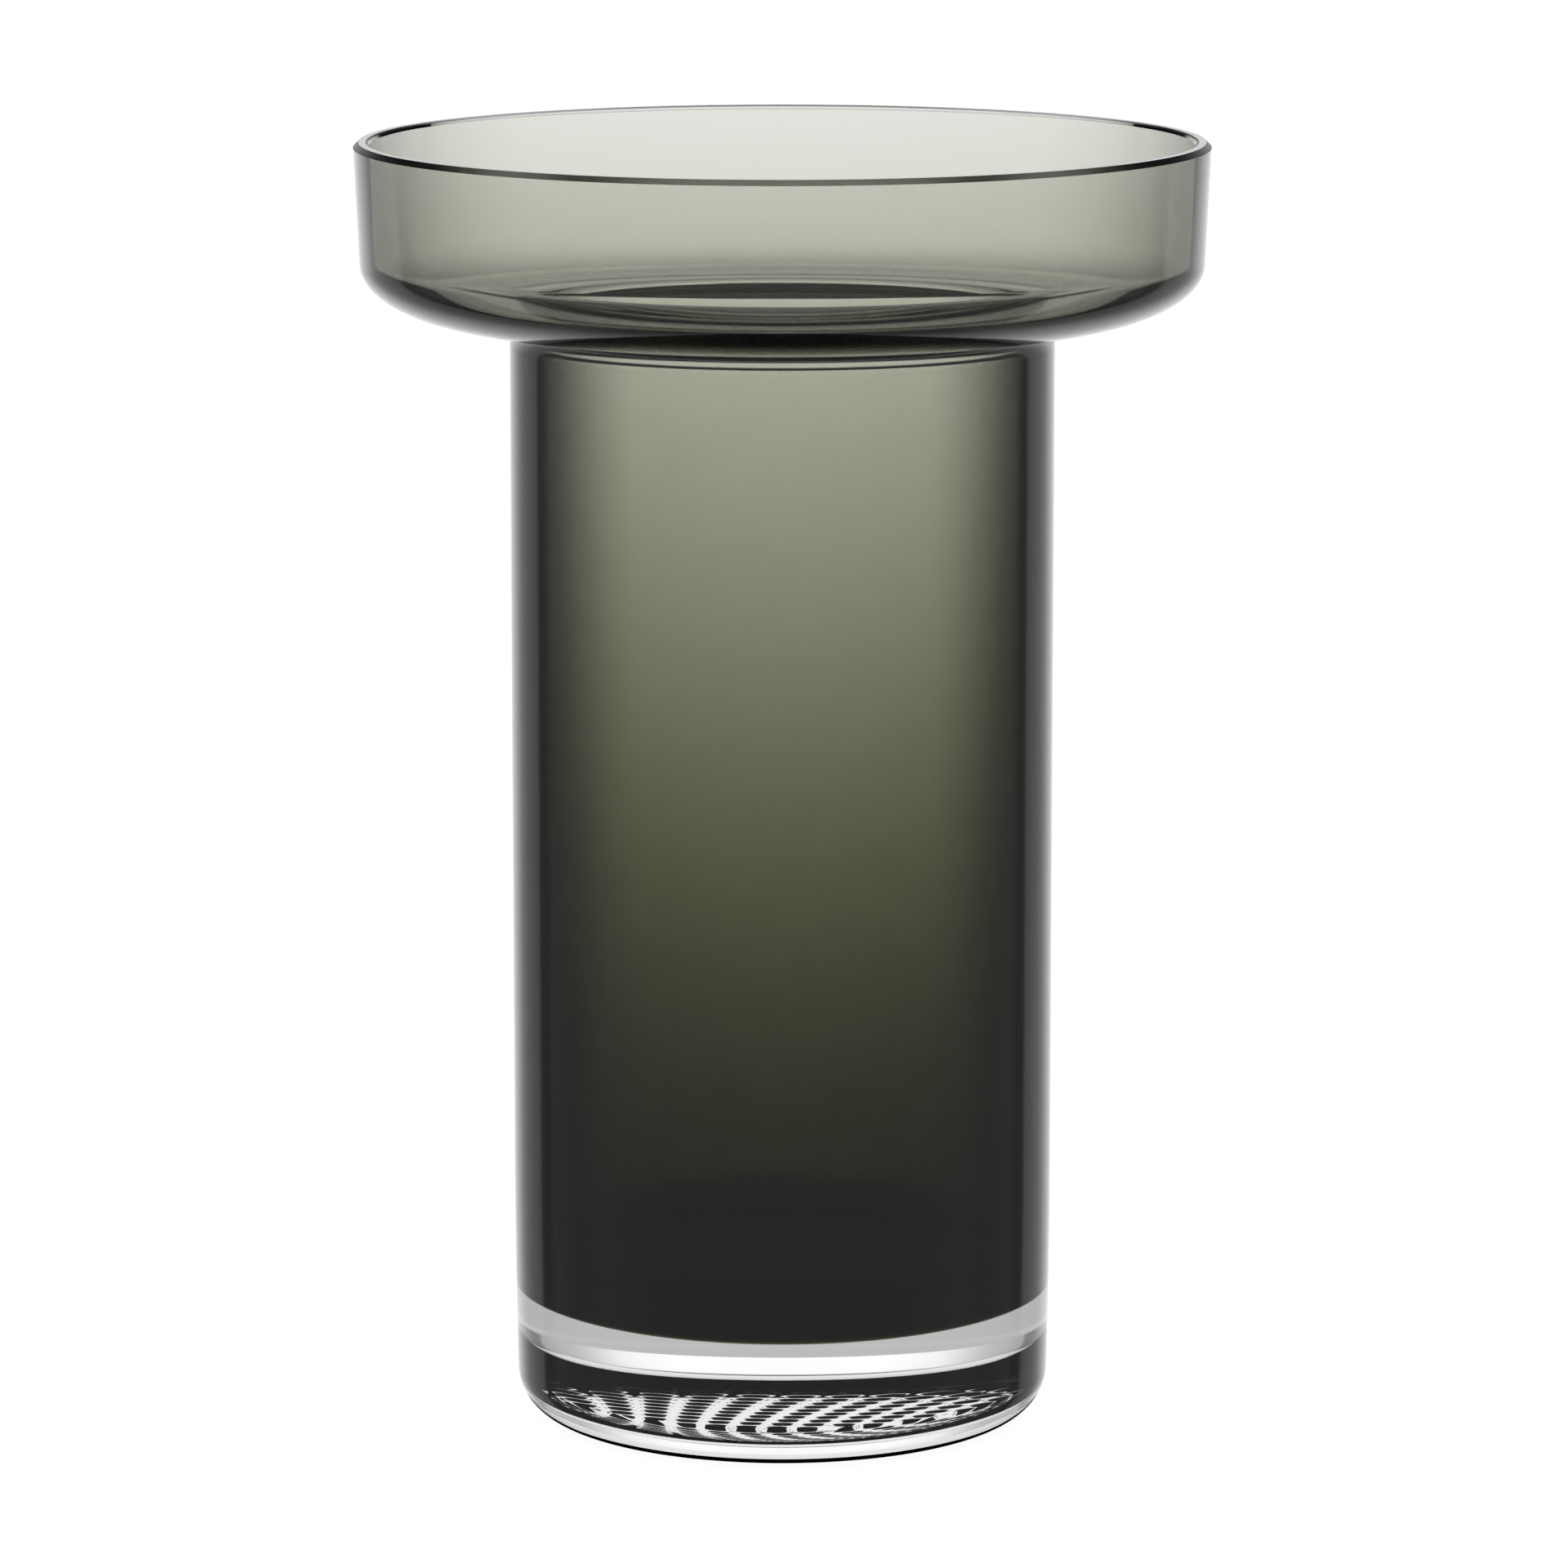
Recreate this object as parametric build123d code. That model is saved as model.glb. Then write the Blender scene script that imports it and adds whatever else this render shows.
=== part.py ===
from build123d import *
import os
from math import exp

# Glass cylinder vase: a slim tube that opens into a wide, shallow bowl, on a heavy clear foot.
# The glass is cased: a smoke-tinted inner layer is fused inside clear outer glass.
# Millimetres, +Z up.  The origin is the centre of the ring that the vase stands on.

HEIGHT = 195.0

# Bowl, outside
RIM_R = 64.2                 # outer radius at the cut rim
RIM_BEVEL = 0.8              # ground bevel on the rim's outer edge
RIM_INNER_BEVEL = 0.6        # and on its inner edge
BOWL_TURN_R = 63.4           # the wall tapers to this radius, then turns in
BOWL_TURN_Z = 176.9
UNDERSIDE_Z = 167.9          # the bowl's underside, where it meets the neck
NECK_FILLET_R = 3.6          # hollow fillet between the underside and the tube

# Bowl, inside
BOWL_WALL = 2.5              # at the rim
TURN_WALL = 2.25             # where the inside wall starts to turn in
BOWL_TURN_IN_Z = 178.0
LEDGE_R = 49.5               # the wall turns in as far as this radius
LEDGE_Z = 171.3              # the bowl's floor there, a ledge around the tube's mouth
LEDGE_DIP = 0.5              # the ledge slopes down this much to the mouth
MOUTH_EDGE_RUN = 3.0         # rounded edge from the ledge into the tube
MOUTH_EDGE_DROP = 1.5

# Tube
TUBE_R = 41.0
BORE_R = 36.2                # the same all the way down
FLOOR_Z = 24.0
FLOOR_CORNER_R = 6.0

# Foot, a solid block of clear glass
FOOT_TOP_Z = 27.0
DRAW_IN_Z = 40.0             # the outside draws in very slightly below this height
FOOT_R = 40.6
FOOT_CORNER_R = 7.0
REST_RING_WIDTH = 0.8        # flat ring that touches the table
RECESS_DEPTH = 1.0           # the underside inside that ring is raised off the table
RECESS_SLOPE_RUN = 0.5

# Smoke layer, thin in the bowl and thicker towards the foot
SMOKE_AT_RIM = 0.36
SMOKE_AT_LEDGE = 0.48
SMOKE_AT_MID = 1.6           # in the tube's wall at SMOKE_MID_Z
SMOKE_MID_Z = 91.0
SMOKE_FALL_OFF = 79.0        # climb over which the layer thins to 1/e
SMOKE_UNDER_FLOOR = 5.6
SMOKE_STATIONS = 6

# Worked out from the values above
NECK_R = TUBE_R + NECK_FILLET_R
NECK_LINE_Z = UNDERSIDE_Z - NECK_FILLET_R
MOUTH_TOP_Z = LEDGE_Z - LEDGE_DIP
MOUTH_Z = MOUTH_TOP_Z - MOUTH_EDGE_DROP
MOUTH_R = BORE_R + MOUTH_EDGE_RUN
INNER_WALL_R = BOWL_TURN_R - TURN_WALL
INNER_RIM_R = RIM_R - BOWL_WALL
INNER_BEVEL_Z = HEIGHT - RIM_INNER_BEVEL
REST_RING_R = FOOT_R - FOOT_CORNER_R
RECESS_R = REST_RING_R - REST_RING_WIDTH


def smoke_thickness(z):
    """Thickness of the smoke layer in the tube's wall at height z."""
    return SMOKE_AT_MID * exp((SMOKE_MID_Z - z) / SMOKE_FALL_OFF)


def run(*points):
    """Straight edges through the points."""
    return [Line(a, b) for a, b in zip(points, points[1:])]


def quarter(centre, width, height, start_angle):
    """A quarter of an ellipse or circle, turning 90 degrees on from start_angle."""
    if abs(width - height) < 1e-6:
        return CenterArc(centre, width, start_angle, 90)
    return EllipticalCenterArc(centre, width, height, start_angle, arc_size=90)


def revolved(edges):
    """Solid of revolution about Z from a closed outline of (radius, height) edges."""
    return revolve(Plane.XZ * make_face(edges), Axis.Z)


def outside_edges():
    """Outside of the vase, from the rim's bevel to the middle of the underside."""
    foot_draw = TangentArc((TUBE_R, DRAW_IN_Z), (FOOT_R, FOOT_CORNER_R), tangent=(0, -1))
    return [
        *run((RIM_R - RIM_BEVEL, HEIGHT), (RIM_R, HEIGHT - RIM_BEVEL), (BOWL_TURN_R, BOWL_TURN_Z)),
        quarter((NECK_R, BOWL_TURN_Z), BOWL_TURN_R - NECK_R, BOWL_TURN_Z - UNDERSIDE_Z, 270),
        quarter((NECK_R, NECK_LINE_Z), NECK_FILLET_R, NECK_FILLET_R, 90),
        *run((TUBE_R, NECK_LINE_Z), (TUBE_R, DRAW_IN_Z)),
        foot_draw,
        TangentArc((FOOT_R, FOOT_CORNER_R), (REST_RING_R, 0), tangent=foot_draw % 1),
        *run((REST_RING_R, 0), (RECESS_R, 0), (RECESS_R - RECESS_SLOPE_RUN, RECESS_DEPTH),
             (0, RECESS_DEPTH)),
    ]


def inside_edges():
    """Inside of the vase, from the rim to the middle of the floor."""
    return [
        *run((INNER_RIM_R, INNER_BEVEL_Z), (INNER_WALL_R, BOWL_TURN_IN_Z)),
        quarter((LEDGE_R, BOWL_TURN_IN_Z), INNER_WALL_R - LEDGE_R, BOWL_TURN_IN_Z - LEDGE_Z, 270),
        *run((LEDGE_R, LEDGE_Z), (MOUTH_R, MOUTH_TOP_Z)),
        quarter((MOUTH_R, MOUTH_Z), MOUTH_EDGE_RUN, MOUTH_EDGE_DROP, 90),
        *run((BORE_R, MOUTH_Z), (BORE_R, FLOOR_Z + FLOOR_CORNER_R)),
        quarter((BORE_R - FLOOR_CORNER_R, FLOOR_Z + FLOOR_CORNER_R), FLOOR_CORNER_R, FLOOR_CORNER_R, 270),
        *run((BORE_R - FLOOR_CORNER_R, FLOOR_Z), (0, FLOOR_Z)),
    ]


def fused_edges():
    """Where the smoke layer meets the clear glass, from the rim to the middle of the foot."""
    ledge_z = LEDGE_Z - SMOKE_AT_LEDGE
    mouth_top_z = MOUTH_TOP_Z - SMOKE_AT_LEDGE
    wall_r = INNER_WALL_R + SMOKE_AT_LEDGE
    mouth_r = BORE_R + smoke_thickness(MOUTH_Z)
    foot_r = BORE_R + smoke_thickness(FOOT_TOP_Z)
    floor_z = FLOOR_Z - SMOKE_UNDER_FLOOR
    corner = FOOT_TOP_Z - floor_z
    heights = [MOUTH_Z + (FOOT_TOP_Z - MOUTH_Z) * i / SMOKE_STATIONS for i in range(SMOKE_STATIONS + 1)]
    wall = [(BORE_R + smoke_thickness(z), z) for z in heights]
    return [
        *run((INNER_RIM_R + SMOKE_AT_RIM, INNER_BEVEL_Z + SMOKE_AT_RIM), (wall_r, BOWL_TURN_IN_Z)),
        quarter((LEDGE_R, BOWL_TURN_IN_Z), wall_r - LEDGE_R, BOWL_TURN_IN_Z - ledge_z, 270),
        *run((LEDGE_R, ledge_z), (MOUTH_R, mouth_top_z)),
        quarter((MOUTH_R, MOUTH_Z), MOUTH_R - mouth_r, mouth_top_z - MOUTH_Z, 90),
        Spline(*wall),
        quarter((foot_r - corner, FOOT_TOP_Z), corner, corner, 270),
        *run((foot_r - corner, floor_z), (0, floor_z)),
    ]


def clear_glass():
    """All the clear glass outside the smoke layer."""
    rim = run((INNER_RIM_R + SMOKE_AT_RIM, INNER_BEVEL_Z + SMOKE_AT_RIM),
              (INNER_RIM_R + RIM_INNER_BEVEL, HEIGHT), (RIM_R - RIM_BEVEL, HEIGHT))
    axis = run((0, FLOOR_Z - SMOKE_UNDER_FLOOR), (0, RECESS_DEPTH))
    return revolved([*rim, *outside_edges(), *axis, *fused_edges()])


def smoke_layer():
    """The tinted inner layer: it lines the bowl, the tube and the floor."""
    rim = run((INNER_RIM_R, INNER_BEVEL_Z), (INNER_RIM_R + SMOKE_AT_RIM, INNER_BEVEL_Z + SMOKE_AT_RIM))
    axis = run((0, FLOOR_Z), (0, FLOOR_Z - SMOKE_UNDER_FLOOR))
    return revolved([*rim, *fused_edges(), *axis, *inside_edges()])


def bowl_casing(clear):
    """Clear outer glass of the bowl, above the line round the neck."""
    return split(clear, Plane.XY.offset(NECK_LINE_Z), keep=Keep.TOP)


def tube_casing(clear):
    """Clear outer glass of the tube, from the foot to the line round the neck."""
    below = split(clear, Plane.XY.offset(NECK_LINE_Z), keep=Keep.BOTTOM)
    return split(below, Plane.XY.offset(FOOT_TOP_Z), keep=Keep.TOP)


def clear_foot(clear):
    """Solid clear foot, dished on top for the smoke layer, with a recessed underside."""
    return split(clear, Plane.XY.offset(FOOT_TOP_Z), keep=Keep.BOTTOM)


def main():
    os.makedirs("parts", exist_ok=True)
    clear = clear_glass()
    nodes = {
        "smoke_layer": smoke_layer(),
        "bowl_casing": bowl_casing(clear),
        "tube_casing": tube_casing(clear),
        "clear_foot": clear_foot(clear),
    }
    for name, solid in nodes.items():
        export_step(solid, f"parts/{name}.step")


main()
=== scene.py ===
from math import cos, exp, hypot, pi, radians, sin

import bpy
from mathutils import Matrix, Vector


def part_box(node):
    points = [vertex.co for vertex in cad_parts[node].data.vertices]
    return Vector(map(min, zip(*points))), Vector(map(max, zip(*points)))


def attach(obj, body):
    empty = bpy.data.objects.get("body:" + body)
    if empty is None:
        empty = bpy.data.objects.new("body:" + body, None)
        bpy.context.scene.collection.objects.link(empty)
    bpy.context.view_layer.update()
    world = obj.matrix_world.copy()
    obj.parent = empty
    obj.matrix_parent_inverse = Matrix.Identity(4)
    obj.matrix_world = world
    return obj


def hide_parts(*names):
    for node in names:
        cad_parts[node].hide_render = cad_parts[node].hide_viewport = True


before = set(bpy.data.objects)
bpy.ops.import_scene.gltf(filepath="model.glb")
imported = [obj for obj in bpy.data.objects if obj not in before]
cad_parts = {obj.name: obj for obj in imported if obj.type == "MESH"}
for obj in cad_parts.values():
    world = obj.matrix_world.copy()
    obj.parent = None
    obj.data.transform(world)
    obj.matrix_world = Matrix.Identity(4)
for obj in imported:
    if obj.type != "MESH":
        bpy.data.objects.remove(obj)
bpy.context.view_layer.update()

MM = 0.001

# --- sizes --------------------------------------------------------------------------

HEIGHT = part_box("bowl_casing")[1][2]
RIM_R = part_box("bowl_casing")[1][0]
NECK_LINE_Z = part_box("tube_casing")[1][2]
TUBE_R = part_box("tube_casing")[1][0]
FOOT_TOP_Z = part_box("clear_foot")[1][2]

# outside of the bowl
RIM_BEVEL = 0.8 * MM
BOWL_TURN_R = 63.4 * MM
BOWL_TURN_Z = 176.9 * MM
NECK_FILLET_R = 3.6 * MM
UNDERSIDE_Z = NECK_LINE_Z + NECK_FILLET_R
NECK_R = TUBE_R + NECK_FILLET_R

# inside, from the rim to the floor
RIM_INNER_BEVEL = 0.6 * MM
BOWL_WALL = 2.5 * MM
BOWL_TURN_IN_Z = 178.0 * MM
TURN_WALL = 2.25 * MM
LEDGE_Z = 171.3 * MM
LEDGE_R = 49.5 * MM
LEDGE_DIP = 0.5 * MM
MOUTH_EDGE_RUN = 3.0 * MM
MOUTH_EDGE_DROP = 1.5 * MM
MOUTH_Z = LEDGE_Z - LEDGE_DIP - MOUTH_EDGE_DROP
BORE_R = 36.2 * MM
FLOOR_Z = 24.0 * MM
FLOOR_CORNER_R = 6.0 * MM

# foot
DRAW_IN_Z = 40.0 * MM
FOOT_R = 40.6 * MM
FOOT_CORNER_R = 7.0 * MM
REST_RING_R = FOOT_R - FOOT_CORNER_R
REST_RING_WIDTH = 0.8 * MM
RECESS_R = REST_RING_R - REST_RING_WIDTH
RECESS_DEPTH = 1.0 * MM
RECESS_SLOPE_RUN = 0.5 * MM

# thickness of the smoke layer
SMOKE_AT_RIM = 0.36 * MM
SMOKE_AT_LEDGE = 0.48 * MM
SMOKE_AT_MID = 1.6 * MM
SMOKE_MID_Z = 91.0 * MM
SMOKE_FALL_OFF = 79.0 * MM
SMOKE_UNDER_FLOOR = 5.6 * MM

# studs under the foot
STUD_PITCH = 3.2 * MM
STUD_R = 1.45 * MM
STUD_HEIGHT = 0.7 * MM
STUD_TURN = radians(-10)
STUD_FIELD_R = RECESS_R - RECESS_SLOPE_RUN
LAST_STUD_R = STUD_FIELD_R + 0.2 * STUD_R      # the outermost studs are cut by the field's edge

# mesh fineness
SEAM = 0.01 * MM              # half of the hair gap drawn between fused layers
SEGMENTS = 384
FOOT_SEGMENTS = 768
WALL_STEP = 4 * MM
RECESS_STEP = 0.25 * MM
RECESS_SLOPE_STEP = 0.2 * MM
DRAW_IN_STEPS = 24
SMOKE_WALL_STEPS = 40
UNDERSIDE_STEPS = 40
BOWL_TURN_STEPS = 24
FOOT_CORNER_STEPS = 20
SMALL_ROUND_STEPS = 16
SHARP_EDGE = radians(38)
SAME_POINT = 1e-7
ABOVE_ALL, BELOW_ALL = 1.0, -1.0

# marks on the faces of a turned solid, which also number its materials
FREE, FUSED, GROUND = 0, 1, 2


def smoke_thickness(z):
    return SMOKE_AT_MID * exp((SMOKE_MID_Z - z) / SMOKE_FALL_OFF)


# --- profiles -----------------------------------------------------------------------

def apart(p, q):
    return hypot(p[0] - q[0], p[1] - q[1])


def between(p, q, t):
    return (p[0] + (q[0] - p[0]) * t, p[1] + (q[1] - p[1]) * t)


def straight(start, end, step=WALL_STEP):
    count = max(1, int(apart(end, start) / step))
    return [between(start, end, i / count) for i in range(count + 1)]


def quarter(centre, width, height, start, count):
    """A quarter of an ellipse, from the angle start in degrees."""
    turns = [radians(start + 90 * i / count) for i in range(count + 1)]
    return [(centre[0] + width * cos(t), centre[1] + height * sin(t)) for t in turns]


def joined(*runs):
    """Runs of points as one line, without doubled points."""
    points = []
    for run in runs:
        for p in run:
            if not points or apart(p, points[-1]) > SAME_POINT:
                points.append(p)
    return points


def outside():
    """From the rim's bevel to the edge of the rest ring, top to bottom."""
    draw_in = []
    for i in range(DRAW_IN_STEPS + 1):
        t = i / DRAW_IN_STEPS
        draw_in.append((TUBE_R - (TUBE_R - FOOT_R) * t * t,
                        DRAW_IN_Z + (FOOT_CORNER_R - DRAW_IN_Z) * t))
    bevel_foot = (RIM_R, HEIGHT - RIM_BEVEL)
    return joined(
        straight((RIM_R - RIM_BEVEL, HEIGHT), bevel_foot),
        straight(bevel_foot, (BOWL_TURN_R, BOWL_TURN_Z)),
        quarter((NECK_R, BOWL_TURN_Z), BOWL_TURN_R - NECK_R, UNDERSIDE_Z - BOWL_TURN_Z, 0,
                UNDERSIDE_STEPS),
        quarter((NECK_R, NECK_LINE_Z), NECK_FILLET_R, NECK_FILLET_R, 90, SMALL_ROUND_STEPS),
        straight((TUBE_R, NECK_LINE_Z), (TUBE_R, DRAW_IN_Z)),
        draw_in,
        quarter((REST_RING_R, FOOT_CORNER_R), FOOT_CORNER_R, -FOOT_CORNER_R, 0,
                FOOT_CORNER_STEPS),
    )


def inside():
    """From the rim to the middle of the floor."""
    wall_r = BOWL_TURN_R - TURN_WALL
    mouth_r = BORE_R + MOUTH_EDGE_RUN
    floor_r = BORE_R - FLOOR_CORNER_R
    corner_z = FLOOR_Z + FLOOR_CORNER_R
    return joined(
        straight((RIM_R - BOWL_WALL, HEIGHT - RIM_INNER_BEVEL), (wall_r, BOWL_TURN_IN_Z)),
        quarter((LEDGE_R, BOWL_TURN_IN_Z), wall_r - LEDGE_R, LEDGE_Z - BOWL_TURN_IN_Z, 0,
                BOWL_TURN_STEPS),
        straight((LEDGE_R, LEDGE_Z), (mouth_r, LEDGE_Z - LEDGE_DIP)),
        quarter((mouth_r, MOUTH_Z), MOUTH_EDGE_RUN, MOUTH_EDGE_DROP, 90, SMALL_ROUND_STEPS),
        straight((BORE_R, MOUTH_Z), (BORE_R, corner_z)),
        quarter((floor_r, corner_z), FLOOR_CORNER_R, -FLOOR_CORNER_R, 0, SMALL_ROUND_STEPS),
        straight((floor_r, FLOOR_Z), (0, FLOOR_Z)),
    )


def fused_line(gap):
    """Where smoke and clear glass meet, moved by gap into the clear glass."""
    rim = (RIM_R - BOWL_WALL + SMOKE_AT_RIM + gap, HEIGHT - RIM_INNER_BEVEL + SMOKE_AT_RIM + gap)
    wall_r = BOWL_TURN_R - TURN_WALL + SMOKE_AT_LEDGE + gap
    ledge_z = LEDGE_Z - SMOKE_AT_LEDGE - gap
    edge_r = BORE_R + MOUTH_EDGE_RUN
    mouth_r = BORE_R + smoke_thickness(MOUTH_Z) + gap
    foot_r = BORE_R + smoke_thickness(FOOT_TOP_Z) + gap
    floor_z = FLOOR_Z - SMOKE_UNDER_FLOOR - gap
    corner = FOOT_TOP_Z - floor_z
    wall = []
    for i in range(SMOKE_WALL_STEPS + 1):
        z = MOUTH_Z + (FOOT_TOP_Z - MOUTH_Z) * i / SMOKE_WALL_STEPS
        wall.append((BORE_R + smoke_thickness(z) + gap, z))
    return joined(
        straight(rim, (wall_r, BOWL_TURN_IN_Z)),
        quarter((LEDGE_R, BOWL_TURN_IN_Z), wall_r - LEDGE_R, ledge_z - BOWL_TURN_IN_Z, 0,
                BOWL_TURN_STEPS),
        straight((LEDGE_R, ledge_z), (edge_r, ledge_z - LEDGE_DIP)),
        quarter((edge_r, MOUTH_Z), edge_r - mouth_r, ledge_z - LEDGE_DIP - MOUTH_Z, 90,
                SMALL_ROUND_STEPS),
        wall,
        quarter((foot_r - corner, FOOT_TOP_Z), corner, -corner, 0, FOOT_CORNER_STEPS),
        straight((foot_r - corner, floor_z), (0, floor_z)),
    )


def cut_at(a, b, z):
    """The point at height z on the line from a to b."""
    t = (a[1] - z) / (a[1] - b[1])
    return (a[0] + (b[0] - a[0]) * t, z)


def part_of(points, high, low):
    """The stretch of a top-to-bottom profile between two heights."""
    kept = []
    for a, b in zip(points, points[1:]):
        if a[1] <= low or b[1] >= high:
            continue
        kept.append(cut_at(a, b, high) if a[1] > high else a)
        kept.append(cut_at(a, b, low) if b[1] < low else b)
    return joined(kept)


def outline(*runs):
    """A closed outline and the mark of each of its edges, from (points, mark) runs in turn."""
    loop, marks = [], []
    for points, mark in runs:
        for p in points:
            if loop and apart(p, loop[-1]) < SAME_POINT:
                continue
            if loop:
                marks.append(mark)
            loop.append(p)
    if apart(loop[0], loop[-1]) < SAME_POINT:
        loop.pop()
    else:
        marks.append(FREE)
    return loop, marks


# --- meshes -------------------------------------------------------------------------

def lathe(name, loop, edge_marks, relief=None, segments=SEGMENTS):
    """A turned solid from a closed outline, and the mark of each face."""
    rings, verts = [], []
    for r, z in loop:
        if r < SAME_POINT:
            rings.append([len(verts)])
            verts.append((0, 0, z))
            continue
        rings.append(range(len(verts), len(verts) + segments))
        for k in range(segments):
            turn = 2 * pi * k / segments
            x, y = r * cos(turn), r * sin(turn)
            verts.append((x, y, z + (relief(x, y, r, z) if relief else 0)))
    faces, marks = [], []
    for i, (a, mark) in enumerate(zip(rings, edge_marks)):
        b = rings[(i + 1) % len(rings)]
        if len(a) == 1 and len(b) == 1:
            continue
        for k in range(segments):
            m = (k + 1) % segments
            if len(a) == 1:
                face = (a[0], b[k], b[m])
            elif len(b) == 1:
                face = (a[k], b[0], a[m])
            else:
                face = (a[k], b[k], b[m], a[m])
            faces.append(face)
            marks.append(mark)
    mesh = bpy.data.meshes.new(name)
    mesh.from_pydata(verts, [], faces)
    mesh.validate()
    mesh.update()
    flag = mesh.attributes.new("fused", "FLOAT", "FACE")
    flag.data.foreach_set("value", [1.0 if m == FUSED else 0.0 for m in marks])
    for polygon in mesh.polygons:
        polygon.use_smooth = True
    piece = bpy.data.objects.new(name, mesh)
    bpy.context.collection.objects.link(piece)
    bpy.context.view_layer.objects.active = piece
    piece.select_set(True)
    bpy.ops.object.mode_set(mode="EDIT")
    bpy.ops.mesh.select_all(action="SELECT")
    bpy.ops.mesh.normals_make_consistent(inside=False)
    bpy.ops.object.mode_set(mode="OBJECT")
    mesh.set_sharp_from_angle(angle=SHARP_EDGE)
    piece.select_set(False)
    return piece, marks


def stud_relief(x, y, r, z):
    """Drop of the moulded studs under the foot, at a point of the recess."""
    if z > RECESS_DEPTH + SAME_POINT or r > STUD_FIELD_R:
        return 0.0
    u = x * cos(STUD_TURN) + y * sin(STUD_TURN)
    v = y * cos(STUD_TURN) - x * sin(STUD_TURN)
    stud_u, stud_v = STUD_PITCH * round(u / STUD_PITCH), STUD_PITCH * round(v / STUD_PITCH)
    if hypot(stud_u, stud_v) > LAST_STUD_R:
        return 0.0
    from_middle = min(1.0, hypot(u - stud_u, v - stud_v) / STUD_R)
    return -STUD_HEIGHT * (1 + cos(pi * from_middle)) / 2


# --- materials ----------------------------------------------------------------------

GLASS_IOR = 1.5
GROUND_WHITE = 0.32
GROUND_ROUGHNESS = 0.35

# noise relief: slight waves in blown glass, and the grain of a ground face
WAVE_SCALE, WAVE_DEPTH = 55, 0.012 * MM
GRIND_SCALE, GRIND_DEPTH = 5000, 0.01 * MM
NOISE_DETAIL = 2.0

SMOKE_PER_MM = 0.75
SMOKE_HUE = (1.0, 0.955, 1.2)          # how strongly red, green and blue are taken out
LEAST_MIRROR = 0.04

# the smoke swallows more of the light that leaves at a grazing angle, and less so in the bowl
GRAZING_FALL = 0.6
GRAZING_FALL_IN_BOWL = 0.2
GRAZING_FROM = 0.045


def new_material(name):
    material = bpy.data.materials.new(name)
    material.use_nodes = True
    tree = material.node_tree
    tree.nodes.clear()
    return material, tree, tree.nodes.new("ShaderNodeOutputMaterial")


def calc(tree, operation, a, b=None):
    """A Math node on one or two numbers or sockets; returns its output."""
    node = tree.nodes.new("ShaderNodeMath")
    node.operation = operation
    for socket, value in zip(node.inputs, (a, b)):
        if value is None:
            continue
        if isinstance(value, (int, float)):
            socket.default_value = value
        else:
            tree.links.new(value, socket)
    return node.outputs[0]


def map_range(tree, value, **numbers):
    """A Map Range node; numbers are From_Min, From_Max, To_Min and To_Max."""
    node = tree.nodes.new("ShaderNodeMapRange")
    for name, number in numbers.items():
        node.inputs[name.replace("_", " ")].default_value = number
    tree.links.new(value, node.inputs["Value"])
    return node


def noise_normal(tree, scale, depth):
    """The normal of a surface with a relief of noise."""
    place = tree.nodes.new("ShaderNodeTexCoord")
    noise = tree.nodes.new("ShaderNodeTexNoise")
    noise.inputs["Scale"].default_value = scale
    noise.inputs["Detail"].default_value = NOISE_DETAIL
    bump = tree.nodes.new("ShaderNodeBump")
    bump.inputs["Strength"].default_value = 1.0
    bump.inputs["Distance"].default_value = depth
    tree.links.new(place.outputs["Object"], noise.inputs["Vector"])
    tree.links.new(noise.outputs["Fac"], bump.inputs["Height"])
    return bump.outputs[0]


def principled_glass(name, white, roughness, relief_scale, relief_depth):
    material, tree, out = new_material(name)
    glass = tree.nodes.new("ShaderNodeBsdfPrincipled")
    glass.inputs["Base Color"].default_value = (white, white, white, 1)
    glass.inputs["Roughness"].default_value = roughness
    glass.inputs["IOR"].default_value = GLASS_IOR
    glass.inputs["Transmission Weight"].default_value = 1.0
    tree.links.new(noise_normal(tree, relief_scale, relief_depth), glass.inputs["Normal"])
    tree.links.new(glass.outputs[0], out.inputs["Surface"])
    return material


def fused_glass():
    """Lets light straight through, where two layers are one glass."""
    material, tree, out = new_material("fused_glass")
    through = tree.nodes.new("ShaderNodeBsdfTransparent")
    tree.links.new(through.outputs[0], out.inputs["Surface"])
    return material


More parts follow.
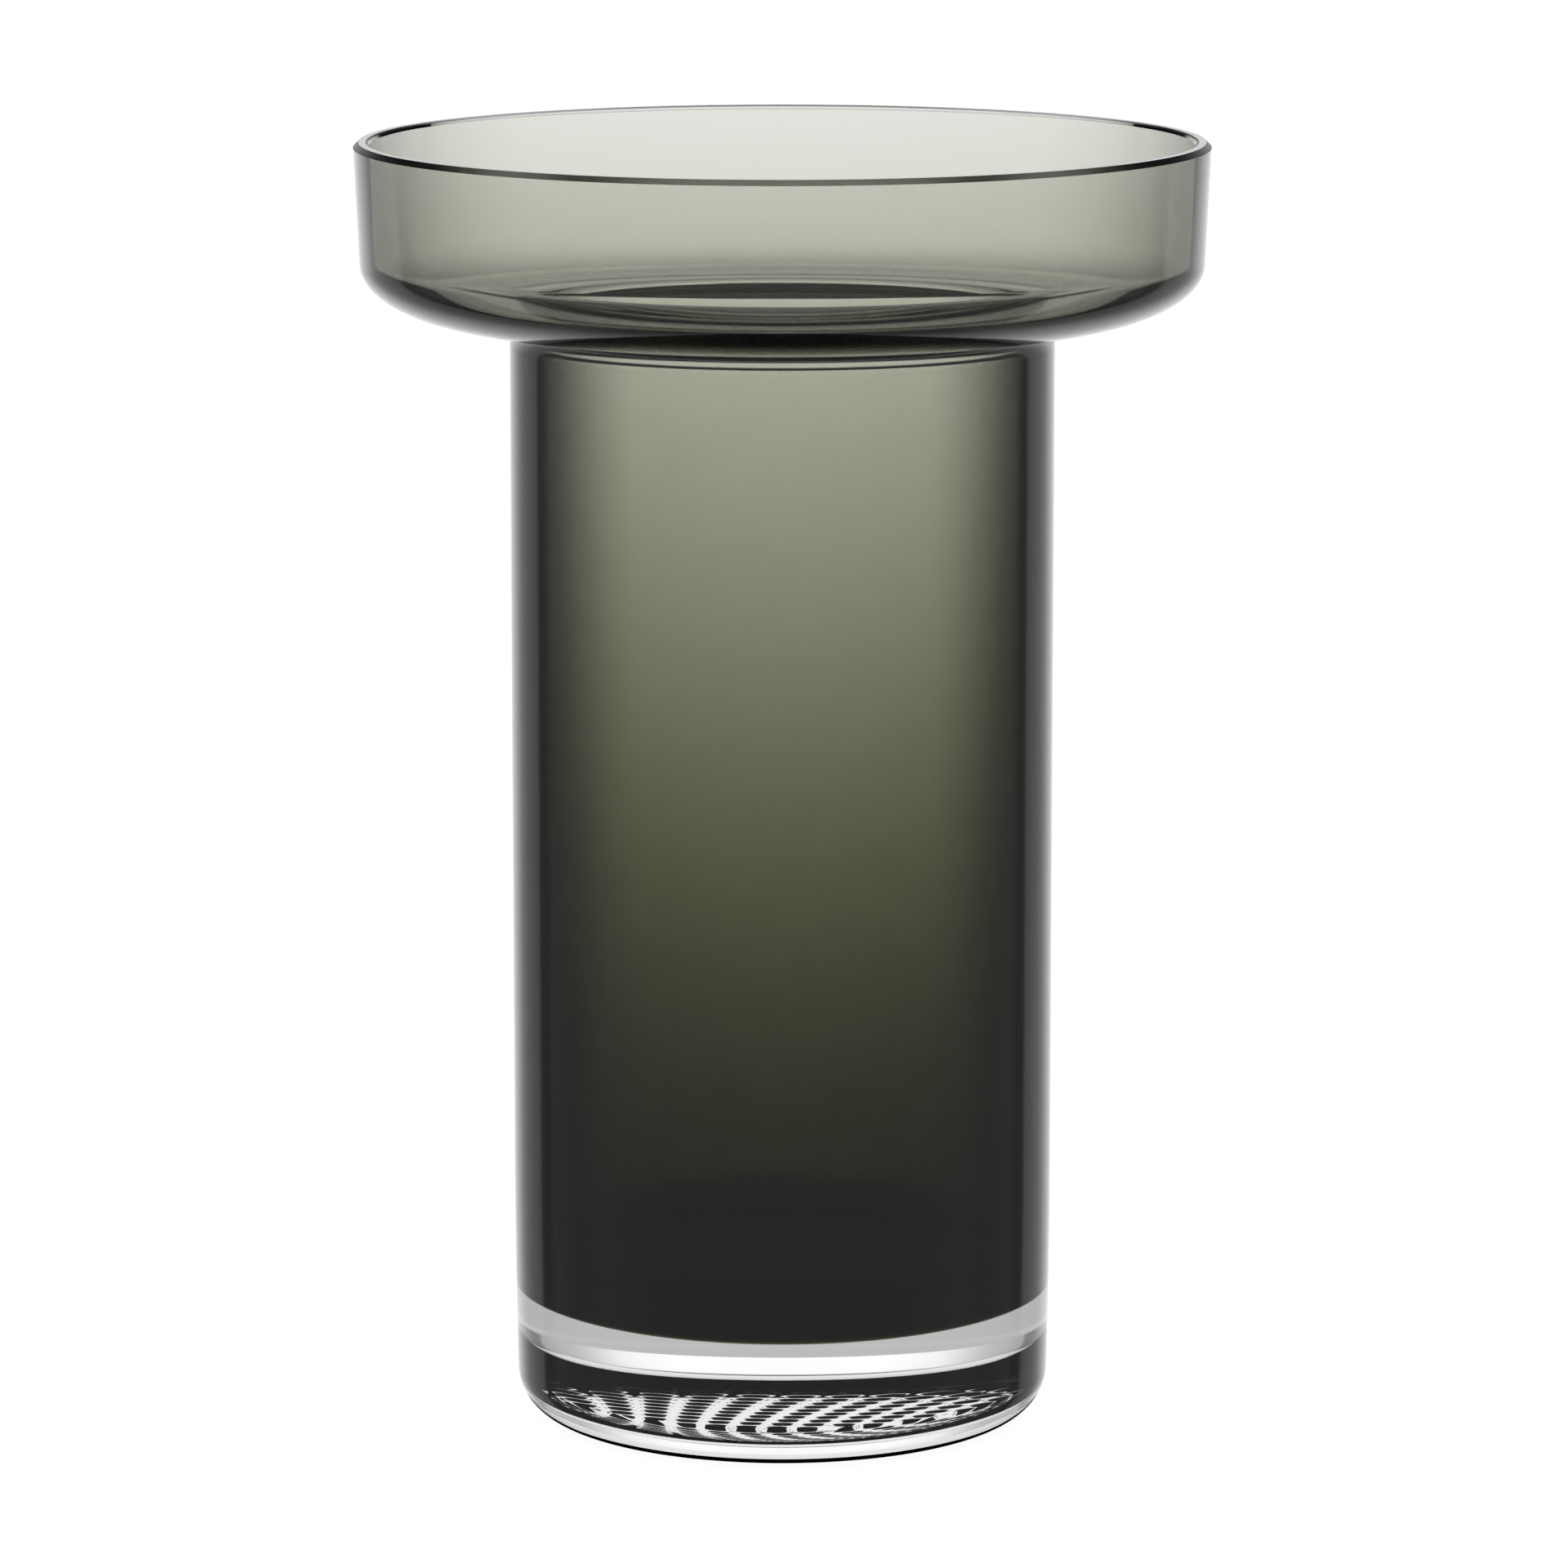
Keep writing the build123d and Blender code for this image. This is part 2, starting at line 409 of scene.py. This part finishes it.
def smoke_glass():
    """Bends light at its free faces only, and darkens it by the thickness it crosses."""
    material, tree, out = new_material("smoke_glass")
    link = tree.links.new
    fresnel = tree.nodes.new("ShaderNodeFresnel")
    fresnel.inputs["IOR"].default_value = GLASS_IOR
    mirrored = fresnel.outputs[0]
    geometry = tree.nodes.new("ShaderNodeNewGeometry")

    height = tree.nodes.new("ShaderNodeSeparateXYZ")
    link(geometry.outputs["Position"], height.inputs[0])
    in_bowl = map_range(tree, height.outputs["Z"], From_Min=MOUTH_Z, From_Max=LEDGE_Z)
    eased = calc(tree, "MULTIPLY", in_bowl.outputs[0], GRAZING_FALL - GRAZING_FALL_IN_BOWL)
    fall = calc(tree, "SUBTRACT", eased, GRAZING_FALL)
    kept = calc(tree, "POWER", calc(tree, "DIVIDE", mirrored, GRAZING_FROM), fall)

    waves = noise_normal(tree, WAVE_SCALE, WAVE_DEPTH)
    bend = tree.nodes.new("ShaderNodeBsdfRefraction")
    bend.inputs["Roughness"].default_value = 0.0
    bend.inputs["IOR"].default_value = GLASS_IOR
    link(calc(tree, "MINIMUM", 1.0, kept), bend.inputs["Color"])
    link(waves, bend.inputs["Normal"])
    mirror = tree.nodes.new("ShaderNodeBsdfGlossy")
    mirror.inputs["Roughness"].default_value = 0.0
    mirror.inputs["Color"].default_value = (1, 1, 1, 1)
    link(waves, mirror.inputs["Normal"])

    outer = calc(tree, "SUBTRACT", 1.0, geometry.outputs["Backfacing"])
    share = calc(tree, "MAXIMUM", LEAST_MIRROR, calc(tree, "MULTIPLY", mirrored, outer))
    free_face = tree.nodes.new("ShaderNodeMixShader")
    link(share, free_face.inputs[0])
    link(bend.outputs[0], free_face.inputs[1])
    link(mirror.outputs[0], free_face.inputs[2])

    through = tree.nodes.new("ShaderNodeBsdfTransparent")
    is_fused = tree.nodes.new("ShaderNodeAttribute")
    is_fused.attribute_name = "fused"
    pick = tree.nodes.new("ShaderNodeMixShader")
    link(is_fused.outputs["Fac"], pick.inputs[0])
    link(free_face.outputs[0], pick.inputs[1])
    link(through.outputs[0], pick.inputs[2])
    link(pick.outputs[0], out.inputs["Surface"])

    # absorption = density * (1 - colour); the strongest channel has colour 0
    strongest = max(SMOKE_HUE)
    tint = tree.nodes.new("ShaderNodeVolumeAbsorption")
    tint.inputs["Color"].default_value = (*[1 - h / strongest for h in SMOKE_HUE], 1)
    tint.inputs["Density"].default_value = SMOKE_PER_MM * strongest / MM
    link(tint.outputs[0], out.inputs["Volume"])
    return material


# --- pieces -------------------------------------------------------------------------

clear = principled_glass("clear_glass", 1.0, 0.0, WAVE_SCALE, WAVE_DEPTH)
seam = fused_glass()
smoke = smoke_glass()
ground = principled_glass("ground_glass", GROUND_WHITE, GROUND_ROUGHNESS, GRIND_SCALE, GRIND_DEPTH)

outer_line = outside()
clear_inner_line = fused_line(2 * SEAM)


def finish_piece(piece, node, materials, marks):
    for material in materials:
        piece.data.materials.append(material)
    if len(materials) > 1:
        piece.data.polygons.foreach_set("material_index", marks)
    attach(piece, "root")
    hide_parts(node)


def smoke_layer():
    rim_r = RIM_R - BOWL_WALL
    rim_z = HEIGHT - RIM_INNER_BEVEL
    loop, edge_marks = outline(
        ([(rim_r, rim_z), (rim_r + SMOKE_AT_RIM, rim_z + SMOKE_AT_RIM)], FREE),
        (fused_line(0), FUSED),
        ([(0, FLOOR_Z)], FREE),
        (list(reversed(inside())), FREE),
    )
    piece, marks = lathe("smoke_layer_glass", loop, edge_marks)
    finish_piece(piece, "smoke_layer", [smoke], marks)


def bowl_casing():
    outer = part_of(outer_line, ABOVE_ALL, NECK_LINE_Z + SEAM)
    inner = part_of(clear_inner_line, ABOVE_ALL, NECK_LINE_Z + SEAM)
    rim_inner_edge = (RIM_R - BOWL_WALL + RIM_INNER_BEVEL, HEIGHT)
    loop, edge_marks = outline(
        ([inner[0], rim_inner_edge], GROUND),
        ([rim_inner_edge, outer[0]], FREE),
        (outer[:2], GROUND),
        (outer[1:], FREE),
        ([outer[-1], inner[-1]], FUSED),
        (list(reversed(inner)), FUSED),
    )
    piece, marks = lathe("bowl_casing_glass", loop, edge_marks)
    finish_piece(piece, "bowl_casing", [clear, seam, ground], marks)


def tube_casing():
    outer = part_of(outer_line, NECK_LINE_Z - SEAM, FOOT_TOP_Z + SEAM)
    inner = part_of(clear_inner_line, NECK_LINE_Z - SEAM, FOOT_TOP_Z + SEAM)
    loop, edge_marks = outline(
        ([inner[0], outer[0]], FUSED),
        (outer, FREE),
        ([outer[-1], inner[-1]], FUSED),
        (list(reversed(inner)), FUSED),
    )
    piece, marks = lathe("tube_casing_glass", loop, edge_marks)
    finish_piece(piece, "tube_casing", [clear, seam], marks)


def clear_foot():
    outer = part_of(outer_line, FOOT_TOP_Z - SEAM, BELOW_ALL)
    under_floor = (0, clear_inner_line[-1][1])
    inner = part_of(clear_inner_line, FOOT_TOP_Z - SEAM, BELOW_ALL) + [under_floor]
    slope_top = (RECESS_R - RECESS_SLOPE_RUN, RECESS_DEPTH)
    recess = joined(
        [outer[-1], (RECESS_R, 0)],
        straight((RECESS_R, 0), slope_top, RECESS_SLOPE_STEP),
        straight(slope_top, (0, RECESS_DEPTH), RECESS_STEP),
    )
    loop, edge_marks = outline(
        ([inner[0], outer[0]], FUSED),
        (outer, FREE),
        (recess, FREE),
        ([recess[-1], inner[-1]], FREE),
        (list(reversed(inner)), FUSED),
    )
    piece, marks = lathe("clear_foot_glass", loop, edge_marks, stud_relief, FOOT_SEGMENTS)
    finish_piece(piece, "clear_foot", [clear, seam], marks)


# --- camera ---------------------------------------------------------------------------

LENS = 173.2                  # in millimetres, on a sensor 36 mm wide
SENSOR = 36
CAMERA_AT = (0.25 * MM, -1128.7 * MM, 295.75 * MM)
CAMERA_TILT = 9.98            # degrees down from level
CAMERA_REACH = 100


def camera():
    data = bpy.data.cameras.new("camera")
    data.lens = LENS
    data.sensor_width = SENSOR
    data.clip_end = CAMERA_REACH
    cam = bpy.data.objects.new("camera", data)
    cam.location = CAMERA_AT
    cam.rotation_euler = (radians(90 - CAMERA_TILT), 0, 0)
    bpy.context.collection.objects.link(cam)
    bpy.context.scene.camera = cam


# --- floor, and the sheets near the foot that only the glass sees ---------------------

FLOOR_HALF = 6.0
FLOOR_GLOW = 0.95
FLOOR_WHITE = 0.15

DISC_SIDES = 96
# the black disc just under the foot is painted shade: the dark under the vase, shown through its
# base
SHADE_UNDER_FOOT_Z = -0.4 * MM
SHADE_DISC_Z = -0.6 * MM
SHADE_R = 110 * MM
SHADE_GLOW = 0.52

CARD_Z = 60 * MM
CARD_NEAR, CARD_FAR = 100 * MM, 260 * MM
CARD_HALF = 200 * MM
CARD_GLOW = 0.9


def flat_sheet(name, points, z):
    mesh = bpy.data.meshes.new(name)
    mesh.from_pydata([(x, y, z) for x, y in points], [], [tuple(range(len(points)))])
    sheet = bpy.data.objects.new(name, mesh)
    bpy.context.collection.objects.link(sheet)
    return sheet


def flat_disc(name, radius, z):
    turns = [2 * pi * k / DISC_SIDES for k in range(DISC_SIDES)]
    return flat_sheet(name, [(radius * cos(t), radius * sin(t)) for t in turns], z)


def hide_from_camera(sheet):
    sheet.visible_camera = False
    sheet.visible_diffuse = False


def emission(tree, strength):
    glow = tree.nodes.new("ShaderNodeEmission")
    glow.inputs["Strength"].default_value = strength
    return glow


def floor_sheet():
    half = FLOOR_HALF
    sheet = flat_sheet("floor", [(-half, -half), (half, -half), (half, half), (-half, half)], 0)
    material, tree, out = new_material("floor")
    paper = tree.nodes.new("ShaderNodeBsdfDiffuse")
    paper.inputs["Color"].default_value = (FLOOR_WHITE, FLOOR_WHITE, FLOOR_WHITE, 1)
    both = tree.nodes.new("ShaderNodeAddShader")
    tree.links.new(paper.outputs[0], both.inputs[0])
    tree.links.new(emission(tree, FLOOR_GLOW).outputs[0], both.inputs[1])
    tree.links.new(both.outputs[0], out.inputs["Surface"])
    sheet.data.materials.append(material)
    sheet.visible_glossy = False
    sheet.visible_transmission = False


def painted_shade_under_foot():
    """A black disc under the foot, painted shade for where no light gets in under it, seen through
    its base and in its reflections.
    """
    disc = flat_disc("painted_shade_under_foot", TUBE_R, SHADE_UNDER_FOOT_Z)
    material, tree, out = new_material("painted_shade_under_foot")
    black = tree.nodes.new("ShaderNodeBsdfDiffuse")
    black.inputs["Color"].default_value = (0, 0, 0, 1)
    tree.links.new(black.outputs[0], out.inputs["Surface"])
    disc.data.materials.append(material)
    hide_from_camera(disc)


def card_behind():
    """A small lit card behind the foot, which lights the studs. It only shows from below."""
    corners = [(-CARD_HALF, CARD_NEAR), (CARD_HALF, CARD_NEAR),
               (CARD_HALF, CARD_FAR), (-CARD_HALF, CARD_FAR)]
    card = flat_sheet("card_behind", corners, CARD_Z)
    material, tree, out = new_material("card_behind")
    through = tree.nodes.new("ShaderNodeBsdfTransparent")
    side = tree.nodes.new("ShaderNodeNewGeometry")
    pick = tree.nodes.new("ShaderNodeMixShader")
    tree.links.new(side.outputs["Backfacing"], pick.inputs[0])
    tree.links.new(through.outputs[0], pick.inputs[1])
    tree.links.new(emission(tree, CARD_GLOW).outputs[0], pick.inputs[2])
    tree.links.new(pick.outputs[0], out.inputs["Surface"])
    card.data.materials.append(material)
    hide_from_camera(card)
    card.visible_shadow = False


def shade_round_foot():
    """A grey disc for the shaded table round the vase. It only shows through the glass."""
    disc = flat_disc("shade_round_foot", SHADE_R, SHADE_DISC_Z)
    material, tree, out = new_material("shade_round_foot")
    tree.links.new(emission(tree, SHADE_GLOW).outputs[0], out.inputs["Surface"])
    disc.data.materials.append(material)
    hide_from_camera(disc)
    disc.visible_glossy = False


# --- studio ---------------------------------------------------------------------------

# What the glass sees: (degrees away from straight behind the vase, brightness).
# A lit backdrop stands behind, with a dark flag on each side and dimmer walls beyond.
STUDIO_STOPS = ((0, 1.3), (15, 1.35), (25, 1.2), (32, 0.88), (38, 0.7), (52, 0.58), (55, 0.24),
                (60, 0.24), (66, 0.38), (80, 0.42), (100, 0.57), (180, 0.575))
BACKDROP_TOP = 12.5           # degrees up; above it the room is dark
BACKDROP_FADE = 2.0
ROOM = 0.03
# painted shade: the table that the glass sees grows darker towards the vase, for the vase's shade
# on it
TABLE_FROM = -18              # degrees; below it the table dims towards the vase
TABLE_EDGE = 0.45
SKY = 1.1                     # the plain white room that the camera and the floor see

MAX_BOUNCES = 24
GLOSSY_BOUNCES = 16
THROUGH_BOUNCES = 64


def rise(angle):
    """Upward part of a unit direction at this many degrees above level."""
    return sin(radians(angle))


def brightness_ring(tree, direction):
    across = calc(tree, "ABSOLUTE", direction.outputs["X"])
    turn = calc(tree, "DIVIDE", calc(tree, "ARCTAN2", across, direction.outputs["Y"]), pi)
    ring = tree.nodes.new("ShaderNodeValToRGB")
    stops = ring.color_ramp.elements
    while len(stops) < len(STUDIO_STOPS):
        stops.new(0.5)
    for stop, (angle, bright) in zip(stops, STUDIO_STOPS):
        stop.position = angle / 180
        stop.color = (bright, bright, bright, 1)
    tree.links.new(turn, ring.inputs[0])
    return ring.outputs[0]


def studio():
    world = bpy.data.worlds.new("studio")
    bpy.context.scene.world = world
    world.use_nodes = True
    tree = world.node_tree
    tree.nodes.clear()
    out = tree.nodes.new("ShaderNodeOutputWorld")
    back = tree.nodes.new("ShaderNodeBackground")
    place = tree.nodes.new("ShaderNodeTexCoord")
    direction = tree.nodes.new("ShaderNodeSeparateXYZ")
    tree.links.new(place.outputs["Generated"], direction.inputs[0])
    up = direction.outputs["Z"]

    # painted shade of the vase on the table: darker for directions that look steeply down
    table = map_range(tree, up, From_Min=-1, From_Max=rise(TABLE_FROM), To_Min=TABLE_EDGE, To_Max=1)
    lit = calc(tree, "MULTIPLY", brightness_ring(tree, direction), table.outputs[0])
    above = map_range(tree, up, From_Min=rise(BACKDROP_TOP - BACKDROP_FADE),
                      From_Max=rise(BACKDROP_TOP + BACKDROP_FADE))
    above.interpolation_type = "SMOOTHSTEP"
    over = above.outputs[0]
    dimmed = calc(tree, "MULTIPLY", lit, calc(tree, "SUBTRACT", 1.0, over))
    seen = calc(tree, "ADD", dimmed, calc(tree, "MULTIPLY", over, ROOM))

    ray = tree.nodes.new("ShaderNodeLightPath")
    plain = calc(tree, "MAXIMUM", ray.outputs["Is Camera Ray"], ray.outputs["Is Diffuse Ray"])
    pick = tree.nodes.new("ShaderNodeMix")
    pick.data_type = "FLOAT"
    tree.links.new(plain, pick.inputs[0])
    tree.links.new(seen, pick.inputs[2])
    pick.inputs[3].default_value = SKY
    tree.links.new(pick.outputs[0], back.inputs["Strength"])
    tree.links.new(back.outputs[0], out.inputs["Surface"])


def light_paths():
    """Enough bounces for light to cross all the layers of glass, and plain colours."""
    scene = bpy.context.scene
    scene.view_settings.view_transform = "Standard"
    scene.cycles.max_bounces = MAX_BOUNCES
    scene.cycles.transmission_bounces = MAX_BOUNCES
    scene.cycles.glossy_bounces = GLOSSY_BOUNCES
    scene.cycles.transparent_max_bounces = THROUGH_BOUNCES


smoke_layer()
bowl_casing()
tube_casing()
clear_foot()
camera()
floor_sheet()
painted_shade_under_foot()
card_behind()
shade_round_foot()
studio()
light_paths()
